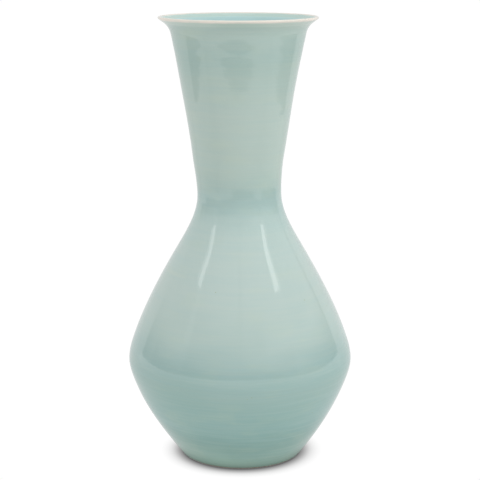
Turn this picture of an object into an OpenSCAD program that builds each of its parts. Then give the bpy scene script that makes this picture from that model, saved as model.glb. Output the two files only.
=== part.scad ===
// Tall wheel-thrown porcelain vase under a pale celadon glaze.
// The clay is thrown in sections: a lower body on a turned foot ring, a shoulder, and a neck
// that ends in a turned-out lip. The sections are luted together with slip, then the vase is
// glazed outside, inside and under the foot.
// Z is the axis of the wheel. The foot ring stands on z = 0. All sizes are in millimetres.

/* [Overall] */
// Height from the table to the top of the lip
vase_h = 400; // [385:1:420]
// Diameter over the lip
lip_d = 141.6; // [134:0.2:150]
// Diameter at the belly, the widest place
belly_d = 204.4; // [196:0.2:214]
// Height of the belly
belly_h = 90; // [82:1:94]
// Diameter at the waist, the narrowest place
waist_d = 75.5; // [70:0.5:84]
// Height of the waist
waist_h = 242; // [234:1:250]
// Diameter of the outline where it meets the table
foot_d = 110.4; // [108:0.2:122]

/* [Outline] */
// Lean of the wall from upright at the foot, in degrees
foot_lean = 38; // [34:0.5:40]
// Distance under the belly at which the lower body's wall starts to turn in
bowl_drop = 20; // [15:1:21]
// Radius lost there
bowl_inset = 5.1; // [4:0.1:5.2]
// Lean there, in degrees
bowl_lean = 20.5; // [18:0.5:23]
// Distance over the belly at which it has turned over into the shoulder
turn_rise = 16; // [15:1:21]
// Radius lost there
turn_inset = 3.1; // [3:0.1:4.4]
// Lean inwards there, in degrees
turn_lean = 18; // [15:0.5:22]
// Distance under the waist at which the shoulder starts to turn up into it
shoulder_drop = 42; // [36:1:46]
// Radius gained there
shoulder_outset = 15.4; // [13:0.1:17]
// Lean inwards there, in degrees
shoulder_lean = 30.6; // [27:0.2:34]
// Distance over the waist at which it has turned into the straight flare of the neck
neck_rise = 33; // [28:1:38]
// Radius gained there
neck_outset = 3; // [2.4:0.1:3.6]
// Lean outwards there, in degrees
neck_lean = 8; // [6:0.5:10]
// Distance under the top of the lip at which the neck starts to turn out
lip_drop = 14.5; // [14:0.1:15.5]
// Radius gained from there to the edge of the lip
lip_reach = 11; // [10.5:0.1:11.1]
// Lean outwards there, in degrees
throat_lean = 12; // [11.8:0.2:13.4]
// Lean of the lip, once it has turned out, in degrees
lip_lean = 54; // [53:0.5:56]

/* [Walls] */
// Thickness of the fired clay near the foot
foot_wall = 6.5; // [5:0.1:8]
// Thickness of the fired clay at the belly
belly_wall = 5.5; // [4:0.1:7]
// Thickness of the fired clay at the waist
waist_wall = 4.8; // [3.6:0.1:6]
// Thickness of the fired clay just under the lip
throat_wall = 3.4; // [2.6:0.1:4.4]
// Thickness of the floor's clay
floor_t = 7; // [5:0.5:9]
// Radius of the lip's rounded edge, glaze included
lip_edge_r = 1.1; // [0.9:0.1:1.3]
// Height over the floor at which the outline's wall stops, and the inside sweeps into the floor
sweep_rise = 1.5; // [0.5:0.5:5]

/* [Foot] */
// Height of the foot ring, which is the depth of the recess inside it
foot_ring_h = 5; // [3:0.5:7]
// Width of the foot ring
foot_ring_w = 6; // [4:0.5:9]
// Bevel on the edges that the vase stands on
foot_bevel = 0.6; // [0.3:0.1:1]
// Height of the bare clay under the glaze's lower edge
bare_h = 1; // [0.6:0.1:2]

/* [Slip and glaze] */
// Thickness of the slip in a luted joint
slip_t = 0.4; // [0.3:0.1:1]
// Height that a luted joint's bevel climbs from the outside to the inside
scarf_h = 5; // [2:0.5:7]
// Thickness of the glaze
glaze_t = 0.5; // [0.4:0.05:0.7]
// Thickness of the glaze where it has run thin round the edge of the lip
lip_glaze_t = 0.25; // [0.2:0.05:0.35]

/* [Hidden] */
$fn = 160;
// Steps in each stretch of the outline, in the lip's curl, round its edge and in the floor's sweep
STRETCH_STEPS = 6;
CURL_STEPS = 10;
EDGE_STEPS = 12;
SWEEP_STEPS = 8;
// Points nearer together than this are one point
JOIN_GAP = 0.001;

CLAY = [0.93, 0.91, 0.87];
SLIP = [0.88, 0.85, 0.80];
BARE_CLAY = [0.84, 0.74, 0.62];
CELADON = [0.69, 0.78, 0.76];
POOLED_CELADON = [0.64, 0.78, 0.78];
THIN_CELADON = [0.94, 0.89, 0.83];

throat_h = vase_h - lip_drop;
belly_r = belly_d / 2;
waist_r = waist_d / 2;
throat_r = lip_d / 2 - lip_reach;

// Places on the outline, from the foot up: height, radius and lean of the wall from upright
OUTLINE = [
    [0, foot_d / 2, foot_lean],
    [belly_h - bowl_drop, belly_r - bowl_inset, bowl_lean],
    [belly_h, belly_r, 0],
    [belly_h + turn_rise, belly_r - turn_inset, -turn_lean],
    [waist_h - shoulder_drop, waist_r + shoulder_outset, -shoulder_lean],
    [waist_h, waist_r, 0],
    [waist_h + neck_rise, waist_r + neck_outset, neck_lean],
    [throat_h, throat_r, throat_lean]
];

// The outline is one smooth curve: between two places it is the cubic that has their radii and leans.
function stretch(z, i = 0) = i == len(OUTLINE) - 2 || z < OUTLINE[i + 1][0] ? i : stretch(z, i + 1);
function outline_r(z) =
    let (i = stretch(z), a = OUTLINE[i], b = OUTLINE[i + 1], h = b[0] - a[0], t = (z - a[0]) / h)
    (1 + 2 * t) * pow(1 - t, 2) * a[1] + t * pow(1 - t, 2) * h * tan(a[2])
    + t * t * (3 - 2 * t) * b[1] + t * t * (t - 1) * h * tan(b[2]);
function outline_lean(z) =
    let (i = stretch(z), a = OUTLINE[i], b = OUTLINE[i + 1], h = b[0] - a[0], t = (z - a[0]) / h)
    atan(
        6 * t * (t - 1) * (a[1] - b[1]) / h
        + (3 * t * t - 4 * t + 1) * tan(a[2]) + (3 * t * t - 2 * t) * tan(b[2])
    );

STATIONS = [
    for (i = [0 : len(OUTLINE) - 2])
        for (k = [0 : STRETCH_STEPS - 1])
            OUTLINE[i][0] + (OUTLINE[i + 1][0] - OUTLINE[i][0]) * k / STRETCH_STEPS
];
function heights(low, high) = [
    low,
    each [for (z = STATIONS) if (z > low + slip_t && z < high - slip_t) z],
    high
];
function reversed(list) = [for (i = [len(list) - 1 : -1 : 0]) list[i]];

// Thickness of the clay at a height, and the four faces of the wall, square to the outline there
function wall(z) = lookup(z, [
    [foot_ring_h, foot_wall], [belly_h, belly_wall], [waist_h, waist_wall], [throat_h, throat_wall]
]);
function inward(z, depth) = let (a = outline_lean(z)) [outline_r(z) - depth * cos(a), z + depth * sin(a)];
function glaze_outside(z) = inward(z, 0);
function clay_outside(z) = inward(z, glaze_t);
function clay_inside(z) = inward(z, glaze_t + wall(z));
function glaze_inside(z) = inward(z, 2 * glaze_t + wall(z));

// The inside sweeps into the floor on a round that touches both
floor_h = foot_ring_h + floor_t + glaze_t;
sweep_h = floor_h + sweep_rise;
sweep_lean = outline_lean(sweep_h);
sweep_r = (glaze_inside(sweep_h)[1] - floor_h) / (1 - sin(sweep_lean));
SWEEP_CENTRE = glaze_inside(sweep_h) + sweep_r * [-cos(sweep_lean), sin(sweep_lean)];
function sweep(radius) = [
    for (k = [0 : SWEEP_STEPS])
        let (a = 90 + (sweep_lean - 90) * k / SWEEP_STEPS) SWEEP_CENTRE + radius * [cos(a), -sin(a)]
];

// A seam between two sections, as its height outside and its height inside
function seam(z) = [z - scarf_h / 2, z + scarf_h / 2];
function above(joint) = joint + [slip_t, slip_t];
BELLY_SEAM = seam(belly_h);
WAIST_SEAM = seam(waist_h);
LIP_SEAM = [throat_h, throat_h];
OUTER_HEIGHTS = [
    each heights(foot_ring_h, BELLY_SEAM[0]),
    each heights(above(BELLY_SEAM)[0], WAIST_SEAM[0]),
    each heights(above(WAIST_SEAM)[0], LIP_SEAM[0])
];
INNER_HEIGHTS = [
    each heights(sweep_h, BELLY_SEAM[1]),
    each heights(above(BELLY_SEAM)[1], WAIST_SEAM[1]),
    each heights(above(WAIST_SEAM)[1], LIP_SEAM[1])
];

// The lip curls out on a round that leaves the neck without a break, then runs straight to its
// rounded edge. On the curl and on the edge, a place is known by the lean of the wall there.
function way(a) = [cos(a), -sin(a)];
THROAT = [throat_r, throat_h];
EDGE_CENTRE = [lip_d / 2 - lip_edge_r, vase_h - lip_edge_r];
curl_r = ((THROAT - EDGE_CENTRE) * way(lip_lean) - lip_edge_r) / (1 - cos(lip_lean - throat_lean));
CURL_CENTRE = THROAT + curl_r * way(throat_lean);
CURL_LEANS = [for (k = [0 : CURL_STEPS]) throat_lean + (lip_lean - throat_lean) * k / CURL_STEPS];
throat_t = throat_wall + 2 * glaze_t;
function lip_t(a) = lookup(a, [[throat_lean, throat_t], [lip_lean, 2 * lip_edge_r]]);
function curl(a, depth) = CURL_CENTRE - (curl_r + depth) * way(a);
UNDER_FACE = [for (a = CURL_LEANS) curl(a, 0)];
UNDER_CLAY = [for (a = CURL_LEANS) curl(a, glaze_t)];
UPPER_CLAY = [for (a = CURL_LEANS) curl(a, lip_t(a) - glaze_t)];
UPPER_FACE = [for (a = CURL_LEANS) curl(a, lip_t(a))];
function edge(radius) = [
    for (k = [0 : EDGE_STEPS]) EDGE_CENTRE + radius * way(lip_lean - 180 * k / EDGE_STEPS)
];

// The foot ring and the recess inside it
foot_r = clay_outside(0)[0];
well_r = foot_r - foot_ring_w;

// Two stretches of an outline share the point where they meet, which is drawn once
function distinct(list) = [
    for (i = [0 : len(list) - 1]) if (norm(list[i] - list[(i + 1) % len(list)]) > JOIN_GAP) list[i]
];
module thrown(outline) rotate_extrude() polygon(distinct(outline));

// A stretch of wall from one seam to another
module wall_section(from, to)
    thrown([
        each [for (z = heights(from[0], to[0])) clay_outside(z)],
        each reversed([for (z = heights(from[1], to[1])) clay_inside(z)])
    ]);

module foot_ring()
    color(BARE_CLAY)
        thrown([
            [well_r + foot_bevel, 0],
            [foot_r - foot_bevel, 0],
            clay_outside(0),
            clay_outside(bare_h),
            clay_outside(foot_ring_h),
            [well_r, foot_ring_h],
            [well_r, foot_bevel]
        ]);

module lower_body()
    color(CLAY)
        thrown([
            [0, foot_ring_h],
            [well_r, foot_ring_h],
            each [for (z = heights(foot_ring_h, BELLY_SEAM[0])) clay_outside(z)],
            each reversed([for (z = heights(sweep_h, BELLY_SEAM[1])) clay_inside(z)]),
            each reversed(sweep(sweep_r + glaze_t)),
            [0, floor_h - glaze_t]
        ]);

module belly_slip_joint() color(SLIP) wall_section(BELLY_SEAM, above(BELLY_SEAM));

module shoulder() color(CLAY) wall_section(above(BELLY_SEAM), WAIST_SEAM);

module waist_slip_joint() color(SLIP) wall_section(WAIST_SEAM, above(WAIST_SEAM));

module neck() color(CLAY) wall_section(above(WAIST_SEAM), LIP_SEAM);

module lip()
    color(CLAY)
        thrown([
            each UNDER_CLAY,
            each edge(lip_edge_r - lip_glaze_t),
            each reversed(UPPER_CLAY)
        ]);

module outer_glaze()
    color(CELADON)
        thrown([
            clay_outside(bare_h),
            glaze_outside(bare_h + glaze_t),
            each [for (z = OUTER_HEIGHTS) glaze_outside(z)],
            each UNDER_FACE,
            each reversed(UNDER_CLAY),
            each reversed([for (z = OUTER_HEIGHTS) clay_outside(z)])
        ]);

module inner_glaze()
    color(POOLED_CELADON)
        thrown([
            [0, floor_h - glaze_t],
            each sweep(sweep_r + glaze_t),
            each [for (z = INNER_HEIGHTS) clay_inside(z)],
            each UPPER_CLAY,
            each reversed(UPPER_FACE),
            each reversed([for (z = INNER_HEIGHTS) glaze_inside(z)]),
            each reversed(sweep(sweep_r)),
            [0, floor_h]
        ]);

module lip_glaze()
    color(THIN_CELADON)
        thrown([
            UNDER_FACE[CURL_STEPS],
            each edge(lip_edge_r),
            UPPER_FACE[CURL_STEPS],
            UPPER_CLAY[CURL_STEPS],
            each reversed(edge(lip_edge_r - lip_glaze_t)),
            UNDER_CLAY[CURL_STEPS]
        ]);

module foot_well_glaze()
    color(POOLED_CELADON)
        thrown([
            [0, foot_ring_h - glaze_t],
            [well_r - glaze_t, foot_ring_h - glaze_t],
            [well_r - glaze_t, bare_h + glaze_t],
            [well_r, bare_h],
            [well_r, foot_ring_h],
            [0, foot_ring_h]
        ]);

foot_ring();
lower_body();
belly_slip_joint();
shoulder();
waist_slip_joint();
neck();
lip();
outer_glaze();
inner_glaze();
lip_glaze();
foot_well_glaze();
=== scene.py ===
"""The looks of a tall celadon vase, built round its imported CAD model.

Each CAD node is turned again from its own outline, smoothly and finely, then the whole vase is
bent a little out of true in one go, as a potter's hands leave it. Metres, +Z up, the axis of the
wheel at x = y = 0, the foot on z = 0, and the front towards -Y.
"""
import math

import bpy
import numpy as np
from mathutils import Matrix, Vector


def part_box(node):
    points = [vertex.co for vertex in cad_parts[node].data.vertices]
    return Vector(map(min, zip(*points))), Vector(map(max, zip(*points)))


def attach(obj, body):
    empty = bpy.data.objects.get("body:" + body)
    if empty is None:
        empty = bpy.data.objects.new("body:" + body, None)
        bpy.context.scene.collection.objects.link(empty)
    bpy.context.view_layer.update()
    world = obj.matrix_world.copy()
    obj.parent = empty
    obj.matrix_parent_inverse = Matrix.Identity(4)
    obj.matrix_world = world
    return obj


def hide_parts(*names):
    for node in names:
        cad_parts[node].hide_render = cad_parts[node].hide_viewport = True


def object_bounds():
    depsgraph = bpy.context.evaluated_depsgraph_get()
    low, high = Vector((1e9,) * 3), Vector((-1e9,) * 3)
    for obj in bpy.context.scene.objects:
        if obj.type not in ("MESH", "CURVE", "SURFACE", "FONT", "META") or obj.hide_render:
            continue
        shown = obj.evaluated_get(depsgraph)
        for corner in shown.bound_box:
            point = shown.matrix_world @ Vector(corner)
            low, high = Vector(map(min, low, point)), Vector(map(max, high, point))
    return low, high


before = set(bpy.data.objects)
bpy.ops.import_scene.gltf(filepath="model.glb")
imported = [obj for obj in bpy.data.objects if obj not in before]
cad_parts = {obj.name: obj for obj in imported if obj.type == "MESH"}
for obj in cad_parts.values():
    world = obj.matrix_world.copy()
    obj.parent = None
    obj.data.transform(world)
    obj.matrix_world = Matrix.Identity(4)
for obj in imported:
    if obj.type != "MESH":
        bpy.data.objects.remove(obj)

cad_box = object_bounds()

MM = 0.001
TURN = 2 * math.pi

# ---- Places, from the frame ----
VASE_H = cad_box[1].z
LIP_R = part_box("lip_glaze")[1].x
LIP_EDGE_R = 1.1 * MM

# ---- How finely the pieces are turned ----
SEGMENTS = 160
SAME_RING = 0.005 * MM
CORNER = math.radians(22)
FINE_STEP = 0.25 * MM
SKIN_STEP = 1.0 * MM
CORE_STEP = 3.0 * MM
STEP_TURN = math.radians(6)  # a ring turns the outline by no more than this
SOFTEN = 4.0 * MM  # curvature breaks are eased over this length ...
SOFTEN_SHARE = 0.1  # ... or this share of the local radius, if that is less
SOFTEN_SLOPE = 0.3  # how fast that length may change along the outline


def rings_of(mesh):
    """The (radius, height) of each ring of a turned mesh, and the ring that each vertex is on."""
    places = np.empty(len(mesh.vertices) * 3)
    mesh.vertices.foreach_get("co", places)
    places = places.reshape(-1, 3)
    flat = np.stack([np.hypot(places[:, 0], places[:, 1]), places[:, 2]], axis=1)
    rings, ring_of = [], np.full(len(flat), -1)
    while (ring_of < 0).any():
        first = flat[np.argmax(ring_of < 0)]
        ring_of[np.abs(flat - first).max(axis=1) < SAME_RING] = len(rings)
        rings.append(first)
    return np.array(rings), ring_of


def outline_of(node):
    """A CAD node's outline, anticlockwise, as (radius, height) points, and whether it is a loop.

    An outline that isn't a loop starts and ends on the axis.
    """
    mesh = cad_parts[node].data
    rings, ring_of = rings_of(mesh)
    edges = np.empty(len(mesh.edges) * 2, int)
    mesh.edges.foreach_get("vertices", edges)
    beside = {i: set() for i in range(len(rings))}
    for a, b in ring_of[edges.reshape(-1, 2)]:
        if a != b:
            beside[a].add(b)
            beside[b].add(a)
    ends = [i for i in beside if len(beside[i]) == 1]
    walk = [ends[0] if ends else 0]
    while True:
        onward = [i for i in beside[walk[-1]] if i not in walk]
        if not onward:
            break
        walk.append(onward[0])
    outline = rings[walk]
    if ends:
        outline = np.vstack([[0, outline[0][1]], outline, [0, outline[-1][1]]])
    after = np.roll(outline, -1, axis=0)
    area = (outline[:, 0] * after[:, 1] - after[:, 0] * outline[:, 1]).sum() / 2
    return (outline if area > 0 else outline[::-1]), not ends


def stretches_of(outline, loop):
    """The smooth stretches of an outline, from corner to corner."""
    way = np.roll(outline, -1, axis=0) - outline
    heading = np.arctan2(way[:, 1], way[:, 0])
    bend = (heading - np.roll(heading, 1) + math.pi) % TURN - math.pi
    corners = [i for i in range(len(outline)) if abs(bend[i]) > CORNER]
    if loop:
        outline = np.roll(outline, -corners[0], axis=0)
        outline = np.vstack([outline, outline[:1]])
        corners = [i - corners[0] for i in corners] + [len(outline) - 1]
    else:
        corners = sorted({0, *corners, len(outline) - 1})
    return [outline[a:b + 1] for a, b in zip(corners, corners[1:])]


def curve_through(points):
    """A fine, smooth curve through the points of a stretch."""
    gaps = np.linalg.norm(np.diff(points, axis=0), axis=1)
    along = np.append(0, np.cumsum(gaps))
    slopes = np.gradient(points, along, axis=0, edge_order=2)
    fine = np.linspace(0, along[-1], max(2, math.ceil(along[-1] / FINE_STEP)) + 1)
    i = np.clip(np.searchsorted(along, fine, side="right") - 1, 0, len(gaps) - 1)
    h = gaps[i][:, None]
    t = (fine - along[i])[:, None] / h
    return (
        (1 + 2 * t) * (1 - t) ** 2 * points[i] + t * (1 - t) ** 2 * h * slopes[i]
        + t * t * (3 - 2 * t) * points[i + 1] + t * t * (t - 1) * h * slopes[i + 1]
    )


def lengths_and_bends(curve):
    """The length along a curve at each of its points, and its curvature there."""
    steps = np.diff(curve, axis=0)
    gaps = np.linalg.norm(steps, axis=1)
    heading = np.unwrap(np.arctan2(steps[:, 1], steps[:, 0]))
    bends = np.abs(np.diff(heading)) / gaps[1:]
    return np.append(0, np.cumsum(gaps)), np.pad(bends, 1, mode="edge")


def eased(curve):
    """The curve with its curvature breaks spread out. Its ends stay where they are."""
    along, bends = lengths_and_bends(curve)
    reach = np.minimum(SOFTEN, SOFTEN_SHARE / np.maximum(bends, 1))
    reach[[0, -1]] = 0
    apart = np.abs(along[:, None] - along[None, :])
    reach = (reach[None, :] + SOFTEN_SLOPE * apart).min(axis=1)
    share = np.exp(-0.5 * (apart / np.maximum(reach, 0.1 * FINE_STEP)[:, None]) ** 2)
    return share @ curve / share.sum(axis=1)[:, None]


def ring_places(curve, step):
    """Points along a curve, step apart or nearer where it bends."""
    along, bends = lengths_and_bends(curve)
    steps = np.minimum(step, STEP_TURN / np.maximum(bends, 1))
    count = np.append(0, np.cumsum(np.diff(along) / ((steps[1:] + steps[:-1]) / 2)))
    wanted = np.linspace(0, count[-1], max(2, math.ceil(count[-1])) + 1)
    at = np.interp(wanted, count, along)
    return np.stack([np.interp(at, along, curve[:, k]) for k in (0, 1)], axis=1)


def turned_outline(node, shows):
    """The node's outline, redrawn finely. shows says which of its stretches are seen."""
    outline, loop = outline_of(node)
    points = []
    for stretch in stretches_of(outline, loop):
        if len(stretch) > 2:
            step = SKIN_STEP if shows(stretch) else CORE_STEP
            stretch = ring_places(eased(curve_through(stretch)), step)
        points.extend(stretch[:-1])
    if not loop:
        points.append(stretch[-1])
    return np.array(points), loop


# ---- What the potter's hands do to a true shape ----
# Throwing rings: height of one ring, depth as a share, and where it starts. The last one is a slow
# swell that shows in the neck.
RINGS = [
    (11.5 * MM, 1.0, 0.4), (13.7 * MM, 0.8, 2.1), (5.3 * MM, 0.35, 4.0), (21.0 * MM, 0.9, 5.2),
    (85.0 * MM, 11.0, 4.5),
]
RING_DEPTH = 0.02 * MM
# The rings stray from level: how far, in radians of a ring's wave, and how fast that turns with height
RING_STRAY = 0.5
RING_STRAY_TURN = 40  # radians per metre
# How deep the rings are, as a share of RING_DEPTH, at a share of the vase's height
RING_DEPTHS = [
    (0.0, 0.0), (0.04, 0.25), (0.25, 0.2), (0.55, 0.15), (0.62, 0.6), (0.67, 1.8), (0.71, 1.8),
    (0.74, 0.7), (0.80, 0.6), (0.96, 0.75), (0.985, 0.0),
]
# The foot and the neck stand a little off the wheel's axis, towards +X where positive
FOOT_DRIFT = 1.3 * MM
FOOT_DRIFT_ENDS = 0.15 * VASE_H
NECK_DRIFT = -1.5 * MM
NECK_DRIFT_GROWS = (0.5 * VASE_H, 0.75 * VASE_H)


def ease_in(value, low, high):
    """0 below low, 1 above high, and a smooth step between them."""
    t = np.clip((value - low) / (high - low), 0, 1)
    return t * t * (3 - 2 * t)


def ring_relief(height, angle):
    """How far the throwing rings stand out at a height and an angle round the axis."""
    shares, depths = zip(*RING_DEPTHS)
    depth = RING_DEPTH * np.interp(height / VASE_H, shares, depths)
    stray = RING_STRAY * np.sin(2 * angle + RING_STRAY_TURN * height)
    waves = sum(
        share * np.sin(TURN * height / rise + angle + start + stray) for rise, share, start in RINGS
    )
    return depth * waves


def by_hand(radius, height, angle):
    """Where a point of the true shape ends up on the thrown vase."""
    radius = radius + ring_relief(height, angle) * (radius > 0)
    drift = FOOT_DRIFT * (1 - ease_in(height, 0, FOOT_DRIFT_ENDS))
    drift = drift + NECK_DRIFT * ease_in(height, *NECK_DRIFT_GROWS)
    return np.stack([radius * np.cos(angle) + drift, radius * np.sin(angle), height], axis=-1)


def revolved(name, points, loop):
    """A closed mesh: the outline turned round the axis."""
    angles = np.arange(SEGMENTS) * TURN / SEGMENTS
    places, rings, crest_gaps = [], [], []
    crest = np.array([LIP_R - LIP_EDGE_R, VASE_H - LIP_EDGE_R])
    count = 0
    for radius, height in points:
        pole = radius < SAME_RING
        at = angles[:1] if pole else angles
        places.append(by_hand(np.full(len(at), 0 if pole else radius), np.full(len(at), height), at))
        rings.append(count + (np.zeros(SEGMENTS, int) if pole else np.arange(SEGMENTS)))
        crest_gaps.append(np.full(len(at), np.linalg.norm([radius, height] - crest)))
        count += len(at)
    faces = []
    for low, high in zip(rings, rings[1:] + (rings[:1] if loop else [])):
        corners = np.stack([low, np.roll(low, -1), np.roll(high, -1), high], axis=1)
        faces.extend(tuple(dict.fromkeys(face)) for face in corners.tolist())
    mesh = bpy.data.meshes.new(name)
    mesh.from_pydata(np.vstack(places), [], faces)
    mesh.shade_smooth()
    mesh.set_sharp_from_angle(angle=CORNER)
    gap = mesh.attributes.new("crest_gap", "FLOAT", "POINT")
    gap.data.foreach_set("value", np.concatenate(crest_gaps))
    piece = bpy.data.objects.new(name, mesh)
    bpy.context.scene.collection.objects.link(piece)
    return piece


# ---- Materials ----
class Recipe:
    """A material that is being mixed. Each method adds a node and returns its output."""

    def __init__(self, name):
        self.material = bpy.data.materials.new(name)
        self.material.use_nodes = True
        self.tree = self.material.node_tree
        self.shader = self.tree.nodes["Principled BSDF"]

    def add(self, kind, output, inputs=(), **settings):
        node = self.tree.nodes.new("ShaderNode" + kind)
        for name, value in settings.items():
            setattr(node, name, value)
        for name, value in dict(inputs).items():
            if isinstance(value, bpy.types.NodeSocket):
                self.tree.links.new(value, node.inputs[name])
            else:
                node.inputs[name].default_value = value
        return node.outputs[output]

    def place(self, stretch=(1, 1, 1)):
        here = self.add("TexCoord", "Object")
        return self.add("Mapping", "Vector", {"Vector": here, "Scale": stretch})

    def height(self):
        return self.add("SeparateXYZ", "Z", {"Vector": self.place()})

    def noise(self, scale, stretch=(1, 1, 1), detail=2.0, roughness=0.5):
        return self.add("TexNoise", "Fac", {
            "Vector": self.place(stretch), "Scale": scale, "Detail": detail, "Roughness": roughness,
        })

    def spread(self, value, low, high, to_low=0.0, to_high=1.0, smooth=True):
        return self.add("MapRange", "Result", {
            "Value": value, "From Min": low, "From Max": high, "To Min": to_low, "To Max": to_high,
        }, interpolation_type="SMOOTHSTEP" if smooth else "LINEAR", clamp=True)

    def math(self, operation, a, b=0.0):
        return self.add("Math", 0, {0: a, 1: b}, operation=operation)

    def mix(self, share, a, b):
        a, b = [c if isinstance(c, bpy.types.NodeSocket) else (*c, 1) for c in (a, b)]
        return self.add("Mix", 2, {0: share, 6: a, 7: b}, data_type="RGBA")

    def ramp(self, value, stops):
        output = self.add("ValToRGB", "Color", {"Fac": value})
        ramp = output.node.color_ramp
        ramp.interpolation = "B_SPLINE"
        while len(ramp.elements) < len(stops):
            ramp.elements.new(1)
        for element, (position, colour) in zip(ramp.elements, stops):
            element.position = position
            element.color = (*colour, 1)
        return output

    def bump(self, value, distance, normal=None):
        inputs = {"Height": value, "Distance": distance, "Strength": 1.0}
        if normal is not None:
            inputs["Normal"] = normal
        return self.add("Bump", "Normal", inputs)

    def finish(self, colour, roughness, normal=None, **fixed):
        for name, value in {"Base Color": colour, "Roughness": roughness, "Normal": normal}.items():
            if isinstance(value, bpy.types.NodeSocket):
                self.tree.links.new(value, self.shader.inputs[name])
            elif value is not None:
                self.shader.inputs[name].default_value = value
        for name, value in fixed.items():
            self.shader.inputs[name.replace("_", " ")].default_value = value
        return self.material


# Colours of the glaze from the foot (0) to the lip (1), as linear light. Darker and greener low on the
# body: partly glaze pooled thicker, partly painted shade where the body faces the floor.
# The lighter tone right at the foot is painted light; at the very lip it is partly thin glaze and
# partly painted light under the curl.
OUTER_TONES_AND_SHADE = [
    (0.00, (0.330, 0.510, 0.415)), (0.03, (0.260, 0.415, 0.355)), (0.065, (0.182, 0.332, 0.298)),
    (0.10, (0.230, 0.397, 0.366)), (0.15, (0.273, 0.435, 0.406)), (0.20, (0.302, 0.449, 0.411)),
    (0.25, (0.311, 0.447, 0.430)), (0.30, (0.403, 0.520, 0.487)), (0.37, (0.445, 0.550, 0.513)),
    (0.45, (0.463, 0.565, 0.533)), (0.54, (0.457, 0.573, 0.538)), (0.60, (0.350, 0.498, 0.482)),
    (0.63, (0.368, 0.485, 0.442)), (0.67, (0.425, 0.530, 0.480)), (0.80, (0.430, 0.530, 0.485)),
    (0.885, (0.390, 0.503, 0.455)), (0.925, (0.352, 0.477, 0.440)), (0.96, (0.392, 0.508, 0.470)),
    (1.00, (0.440, 0.550, 0.485)),
]
# Colours of the glaze inside, from the foot (0) to the lip (1), as linear light: bluer than outside,
# and darker deeper in, which is painted shade inside the neck.
INNER_TONES_AND_SHADE = [
    (0.00, (0.220, 0.420, 0.420)), (0.60, (0.240, 0.460, 0.470)),
    (0.90, (0.275, 0.490, 0.510)), (1.00, (0.420, 0.600, 0.600)),
]
STREAK_BLUE = (0.30, 0.50, 0.52)
LINE_PALE = (0.56, 0.62, 0.54)
CLOUD_GREEN = (0.52, 0.60, 0.42)
IRON = (0.30, 0.34, 0.12)
THIN_OUTSIDE = (0.55, 0.66, 0.58)
THIN_INSIDE = (0.50, 0.69, 0.66)
WARM_WHITE = (0.80, 0.73, 0.65)
SAG = 0.012  # the tones wander up and down by this share of the height
SPECK_CELLS = 62.0  # per metre; at most one iron speck in each
THIN_FROM, THIN_TO = 2 * MM, 10 * MM  # between these from the crest it gets its full depth
THROAT_RIDGE = 6.0 * MM  # how far from the crest the glaze runs thin over a throwing ridge
CREAM_FROM, CREAM_TO = 1.0 * MM, 2.1 * MM  # between these the warm white fades out ...
CREAM_RAGGED = 0.2 * MM  # ... along an edge that wanders by this much


def glaze_tones_and_shade(recipe, tones, streaks):
    """The glaze's colour by height, whose tones hold painted shade low down and painted light at the
    foot and the lip, with streaks and lines along the throwing rings, and clouds.
    """
    share = recipe.math("DIVIDE", recipe.height(), VASE_H)
    sag = recipe.spread(recipe.noise(14, (1, 1, 3)), 0.3, 0.7, -SAG, SAG)
    colour = recipe.ramp(recipe.math("ADD", share, sag), tones)
    colour = recipe.mix(recipe.spread(streaks, 0.35, 0.7, 0, 0.12), colour, STREAK_BLUE)
    lines = recipe.noise(40, (0.6, 0.6, 14), detail=4)
    colour = recipe.mix(recipe.spread(lines, 0.4, 0.7, 0, 0.07), colour, LINE_PALE)
    clouds = recipe.noise(30, (1, 1, 2.2), detail=3)
    return recipe.mix(recipe.spread(clouds, 0.5, 0.75, 0, 0.10), colour, CLOUD_GREEN)


def iron_specks(recipe, colour):
    """The colour with small iron specks in some cells of a 3-D pattern."""
    cells = {"Vector": recipe.place(), "Scale": SPECK_CELLS}
    small = recipe.spread(recipe.add("TexVoronoi", "Distance", cells), 0.022, 0.036, 1, 0)
    draw = recipe.add("SeparateColor", "Red", {"Color": recipe.add("TexVoronoi", "Color", cells)})
    speck = recipe.math("MULTIPLY", small, recipe.spread(draw, 0.35, 0.36))
    return recipe.mix(recipe.math("MULTIPLY", speck, 0.6), colour, IRON)


def thin_at_lip(recipe, colour):
    """The colour where the glaze runs thin: pale near the lip, and warm white on its crest."""
    gap = recipe.add("Attribute", "Fac", attribute_name="crest_gap")
    facing = recipe.add("NewGeometry", "Normal")
    inwards = recipe.spread(recipe.add("SeparateXYZ", "Z", {0: facing}), -0.2, 0.3)
    thin = recipe.mix(inwards, THIN_OUTSIDE, THIN_INSIDE)
    colour = recipe.mix(recipe.spread(gap, THIN_FROM, THIN_TO, 0.5, 0), colour, thin)
    off_ridge = recipe.math("ABSOLUTE", recipe.math("SUBTRACT", gap, THROAT_RIDGE))
    colour = recipe.mix(recipe.spread(off_ridge, 0.2 * MM, 0.9 * MM, 0.35, 0), colour, thin)
    wander = recipe.spread(recipe.noise(60), 0.3, 0.7, -CREAM_RAGGED, CREAM_RAGGED)
    ragged = recipe.math("ADD", gap, wander)
    return recipe.mix(recipe.spread(ragged, CREAM_FROM, CREAM_TO, 0.95, 0), colour, WARM_WHITE)


def celadon(name, tones):
    """Pale glossy celadon, whose skin has brushed rings, runs down the wall and fine ripples."""
    recipe = Recipe(name)
    streaks = recipe.noise(22, (0.5, 0.5, 16), detail=4, roughness=0.6)
    colour = iron_specks(recipe, glaze_tones_and_shade(recipe, tones, streaks))
    colour = thin_at_lip(recipe, colour)
    brushed = recipe.bump(recipe.noise(30, (0.4, 0.4, 10), detail=1), 0.004 * MM)
    run = recipe.bump(recipe.noise(60, (1, 1, 0.2), detail=2), 0.05 * MM, normal=brushed)
    rippled = recipe.bump(recipe.noise(90, detail=1), 0.012 * MM, normal=run)
    roughness = recipe.spread(streaks, 0.3, 0.7, 0.03, 0.06)
    return recipe.finish(colour, roughness, rippled, IOR=1.5)


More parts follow.
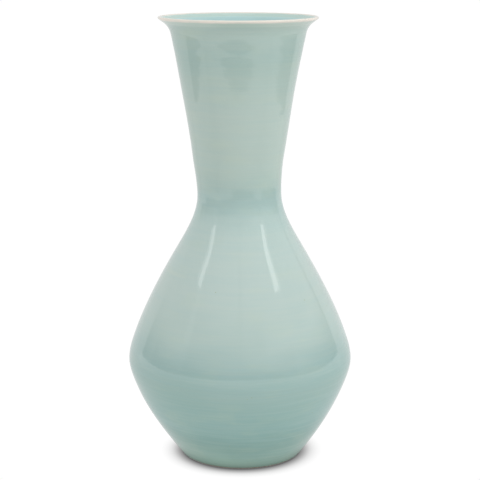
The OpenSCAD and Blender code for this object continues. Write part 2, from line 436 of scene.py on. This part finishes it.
def fired_clay(name, pale, dark, grain):
    """Unglazed porcelain: fine grain, slightly uneven colour, matt."""
    recipe = Recipe(name)
    colour = recipe.mix(recipe.spread(recipe.noise(90, detail=4), 0.35, 0.7), pale, dark)
    normal = recipe.bump(recipe.noise(900, detail=3, roughness=0.7), grain)
    roughness = recipe.spread(recipe.noise(300), 0.3, 0.7, 0.62, 0.78)
    return recipe.finish(colour, roughness, normal, IOR=1.45)


# A painted shadow round the foot: the share of its light that the paper gives at a distance from the
# foot, in mm
PAPER_SHADE = [
    (0, 0.13), (1, 0.20), (2, 0.27), (4, 0.38), (6, 0.50), (8, 0.62), (10, 0.73), (13, 0.85),
    (17, 0.94), (22, 1.0),
]
SHADE_FRONT = 2 * MM  # the shade reaches this much farther at the front
PAPER_SEEN = 1.02  # its radiance to the eye ...
PAPER_CAST = 0.85  # ... and what it gives the glaze


def paper(foot_r):
    """A sheet that glows evenly, but for a painted shadow close round the foot."""
    recipe = Recipe("paper")
    foot = (-FOOT_DRIFT, SHADE_FRONT, 0)
    off = recipe.add("VectorMath", "Vector", {0: recipe.place((1, 1, 0)), 1: foot}, operation="ADD")
    out = recipe.add("VectorMath", "Value", {0: off}, operation="LENGTH")
    reach = PAPER_SHADE[-1][0]
    share = recipe.spread(out, foot_r, foot_r + reach * MM, smooth=False)
    shade = recipe.ramp(share, [(gap / reach, (light,) * 3) for gap, light in PAPER_SHADE])
    eye = recipe.add("LightPath", "Is Camera Ray")
    light = recipe.spread(eye, 0, 1, PAPER_CAST, PAPER_SEEN, smooth=False)
    strength = recipe.math("MULTIPLY", shade, light)
    recipe.tree.links.new(strength, recipe.shader.inputs["Emission Strength"])
    recipe.shader.inputs["Emission Color"].default_value = (1, 1, 1, 1)
    return recipe.finish((0, 0, 0, 1), 0.9, Specular_IOR_Level=0)


def glow(name, radiances, heights, tint=(1, 1, 1)):
    """Emitted light that changes evenly from one radiance to another between two heights."""
    recipe = Recipe(name)
    recipe.shader.inputs["Base Color"].default_value = (0, 0, 0, 1)
    recipe.shader.inputs["Specular IOR Level"].default_value = 0
    recipe.shader.inputs["Emission Color"].default_value = (*tint, 1)
    strength = recipe.spread(recipe.height(), *heights, *radiances)
    recipe.tree.links.new(strength, recipe.shader.inputs["Emission Strength"])
    return recipe.material


# ---- The studio ----
# White boards stand round the vase: how far out, and how high
FRONT_BOARD = (0.495, 0.126)
SIDE_BOARD = (0.69, 0.105)
BOARD_TURN = math.radians(62)  # the azimuth of the corner between them
# Azimuths, in degrees from the front, +X positive
LEFT_END, DARK_FROM, RIGHT_END = -120, -102, 118
WALL_TURN = 60  # the side walls start here
ROOM_REACH = 2.5
OFF_FLOOR = 0.5 * MM
CEILING_H = 8
LAMPS_FROM = 1.05  # the height at which the lamps' light starts on the room's walls
DUSK_TO = 2.4
FLOOR_DARK = 0.25
WALL_DARK = 0.1
# Two bright lamps stand close by, each with a dimmer edge
LAMP_OUT = 0.39
LAMP_HEIGHTS = (0.40, 1.2)


def reflected(name, material, azimuths, low, high):
    """A part of the room that shows only in the glaze, between azimuths in degrees.

    Azimuths run from the front, +X positive. low and high give the (distance, height) of its two
    edges at an azimuth in radians.
    """
    count = 60
    angles = np.radians(np.linspace(*azimuths, count + 1))
    places = []
    for edge in (low, high):
        for a in angles:
            out, z = edge(a)
            places.append((out * math.sin(a), -out * math.cos(a), z))
    faces = [(k, k + 1, k + count + 2, k + count + 1) for k in range(count)]
    mesh = bpy.data.meshes.new(name)
    mesh.from_pydata(places, [], faces)
    mesh.materials.append(material)
    thing = bpy.data.objects.new(name, mesh)
    bpy.context.scene.collection.objects.link(thing)
    thing.visible_camera = False
    thing.visible_diffuse = False
    thing.visible_transmission = False
    thing.visible_volume_scatter = False
    thing.visible_shadow = False


def board_top(azimuth):
    """The distance and the height of the boards' upper edge."""
    if abs(azimuth) < BOARD_TURN:
        out, height = FRONT_BOARD
        return out / math.cos(azimuth), height
    out, height = SIDE_BOARD
    return out / abs(math.sin(azimuth)), height


def board_foot(azimuth):
    """The distance and the height of the boards' lower edge."""
    return board_top(azimuth)[0], OFF_FLOOR


def standing(name, azimuths, heights, radiances, distance=ROOM_REACH, tint=(1, 1, 1), fade_from=0):
    """A reflected part of the room that stands at one distance, between two heights.

    Its radiance changes between the height fade_from and its upper edge.
    """
    low, high = heights
    material = glow(name, radiances, (fade_from, high), tint)
    reflected(name, material, azimuths, lambda a: (distance, low), lambda a: (distance, high))


def boards_and_floor():
    """White boards round the vase, and a dark floor from their upper edge to the walls' foot."""
    boards = glow("boards", (1.0, 1.0), (0, 1))
    reflected("white_boards", boards, (LEFT_END, RIGHT_END), board_foot, board_top)
    dark = glow("dark_floor", (FLOOR_DARK, FLOOR_DARK), (0, 1))
    wall_foot = (ROOM_REACH, OFF_FLOOR)
    reflected("dark_floor", dark, (DARK_FROM, RIGHT_END), board_top, lambda azimuth: wall_foot)


def walls():
    """The room's walls, dark near the floor and lit from LAMPS_FROM up, and a bright backdrop."""
    low, high = (0, LAMPS_FROM), (LAMPS_FROM, CEILING_H)
    standing("far_left_wall", (LEFT_END, DARK_FROM), low, (0.3, 0.8), fade_from=0.2)
    standing("left_wall", (DARK_FROM, -WALL_TURN), low, (WALL_DARK, 0.8), fade_from=0.25)
    standing("front_wall", (-WALL_TURN, WALL_TURN), low, (WALL_DARK, 0.6), fade_from=0.6)
    standing("right_wall", (WALL_TURN, RIGHT_END), low, (WALL_DARK, 0.9), fade_from=0.25)
    dusk = (LAMPS_FROM, DUSK_TO)
    standing("front_dusk", (-WALL_TURN, 30), dusk, (0.6, 1.0), fade_from=LAMPS_FROM)
    standing("left_room", (LEFT_END, -67), high, (0.75, 0.75))
    standing("right_room", (67, RIGHT_END), high, (0.85, 0.85), tint=(0.9, 0.97, 1.0))
    standing("front_seam", (-1, 1), high, (0.2, 0.2), distance=2.4)
    standing("right_gap", (118.5, 121.5), (0, 4), (0.0, 0.0))
    standing("backdrop", (121, 240), (0, CEILING_H), (0.8, 0.8))


def lamps():
    """Two upright strips, which give the long highlights at the left and the right."""
    for name, azimuths, radiances in [
        ("left_lamp_edge", (-70, -68), (2.2, 2.2)), ("left_lamp", (-67, -60), (3.0, 3.6)),
        ("right_lamp_edge", (61, 63), (2.0, 2.0)), ("right_lamp", (52, 60), (3.4, 4.4)),
    ]:
        standing(name, azimuths, LAMP_HEIGHTS, radiances, distance=LAMP_OUT)


def key_light():
    """A square soft light at the right that faces the vase. The glaze doesn't reflect it."""
    azimuth, rise, distance = math.radians(60), math.radians(30), 2.0
    data = bpy.data.lights.new("key_light", "AREA")
    data.size = 1.2
    data.energy = 8
    light = bpy.data.objects.new("key_light", data)
    across = distance * math.cos(rise)
    up = distance * math.sin(rise) + VASE_H / 2
    light.location = (across * math.sin(azimuth), -across * math.cos(azimuth), up)
    light.rotation_euler = (math.pi / 2 - rise, 0, azimuth)
    light.visible_glossy = False
    bpy.context.scene.collection.objects.link(light)


def white_world():
    world = bpy.data.worlds.new("studio")
    world.use_nodes = True
    world.node_tree.nodes["Background"].inputs["Color"].default_value = (1, 1, 1, 1)
    world.node_tree.nodes["Background"].inputs["Strength"].default_value = 1.0
    bpy.context.scene.world = world
    bpy.context.scene.view_settings.view_transform = "Standard"


def floor():
    reach = 30
    mesh = bpy.data.meshes.new("floor")
    corners = [(-1, -1), (1, -1), (1, 1), (-1, 1)]
    mesh.from_pydata([(x * reach, y * reach, 0) for x, y in corners], [], [(0, 1, 2, 3)])
    foot = outline_of("foot_ring")[0]
    mesh.materials.append(paper(max(radius for radius, height in foot if height < SAME_RING)))
    sheet = bpy.data.objects.new("floor", mesh)
    bpy.context.scene.collection.objects.link(sheet)


def studio():
    """A white room. What the glaze reflects of it: boards, a dark room past them, and lamps."""
    white_world()
    floor()
    key_light()
    boards_and_floor()
    walls()
    lamps()


def camera():
    data = bpy.data.cameras.new("camera")
    data.lens = 104.68
    data.sensor_width = 36
    cam = bpy.data.objects.new("camera", data)
    cam.location = (0, -1.24, 0.4647)
    cam.rotation_euler = (math.radians(77.90), 0, 0)
    bpy.context.scene.collection.objects.link(cam)
    bpy.context.scene.camera = cam


# ---- The vase ----
def outermost(stretch):
    """Whether a stretch is the long one that runs up the outside."""
    return len(stretch) > 20 and stretch[:, 1].mean() > 0 and stretch[0][1] < stretch[-1][1]


def innermost(stretch):
    """Whether a stretch runs down the inside."""
    return len(stretch) > 4 and stretch[0][1] > stretch[-1][1]


def everywhere(stretch):
    return True


def nowhere(stretch):
    return False


def vase():
    clay = fired_clay("fired_porcelain", (0.86, 0.83, 0.78), (0.80, 0.76, 0.70), 0.02 * MM)
    slip = fired_clay("fired_slip", (0.82, 0.78, 0.72), (0.76, 0.71, 0.64), 0.02 * MM)
    toasted = fired_clay("toasted_porcelain", (0.56, 0.50, 0.42), (0.46, 0.38, 0.29), 0.03 * MM)
    outer = celadon("celadon_outside", OUTER_TONES_AND_SHADE)
    inner = celadon("celadon_inside", INNER_TONES_AND_SHADE)
    made = {
        "foot_ring": (toasted, everywhere),
        "lower_body": (clay, nowhere),
        "belly_slip_joint": (slip, nowhere),
        "shoulder": (clay, nowhere),
        "waist_slip_joint": (slip, nowhere),
        "neck": (clay, nowhere),
        "lip": (clay, nowhere),
        "outer_glaze": (outer, outermost),
        "inner_glaze": (inner, innermost),
        "lip_glaze": (outer, everywhere),
        "foot_well_glaze": (inner, everywhere),
    }
    for node, (material, shows) in made.items():
        piece = revolved("thrown_" + node, *turned_outline(node, shows))
        piece.data.materials.append(material)
        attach(piece, "root")
        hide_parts(node)


vase()
studio()
camera()
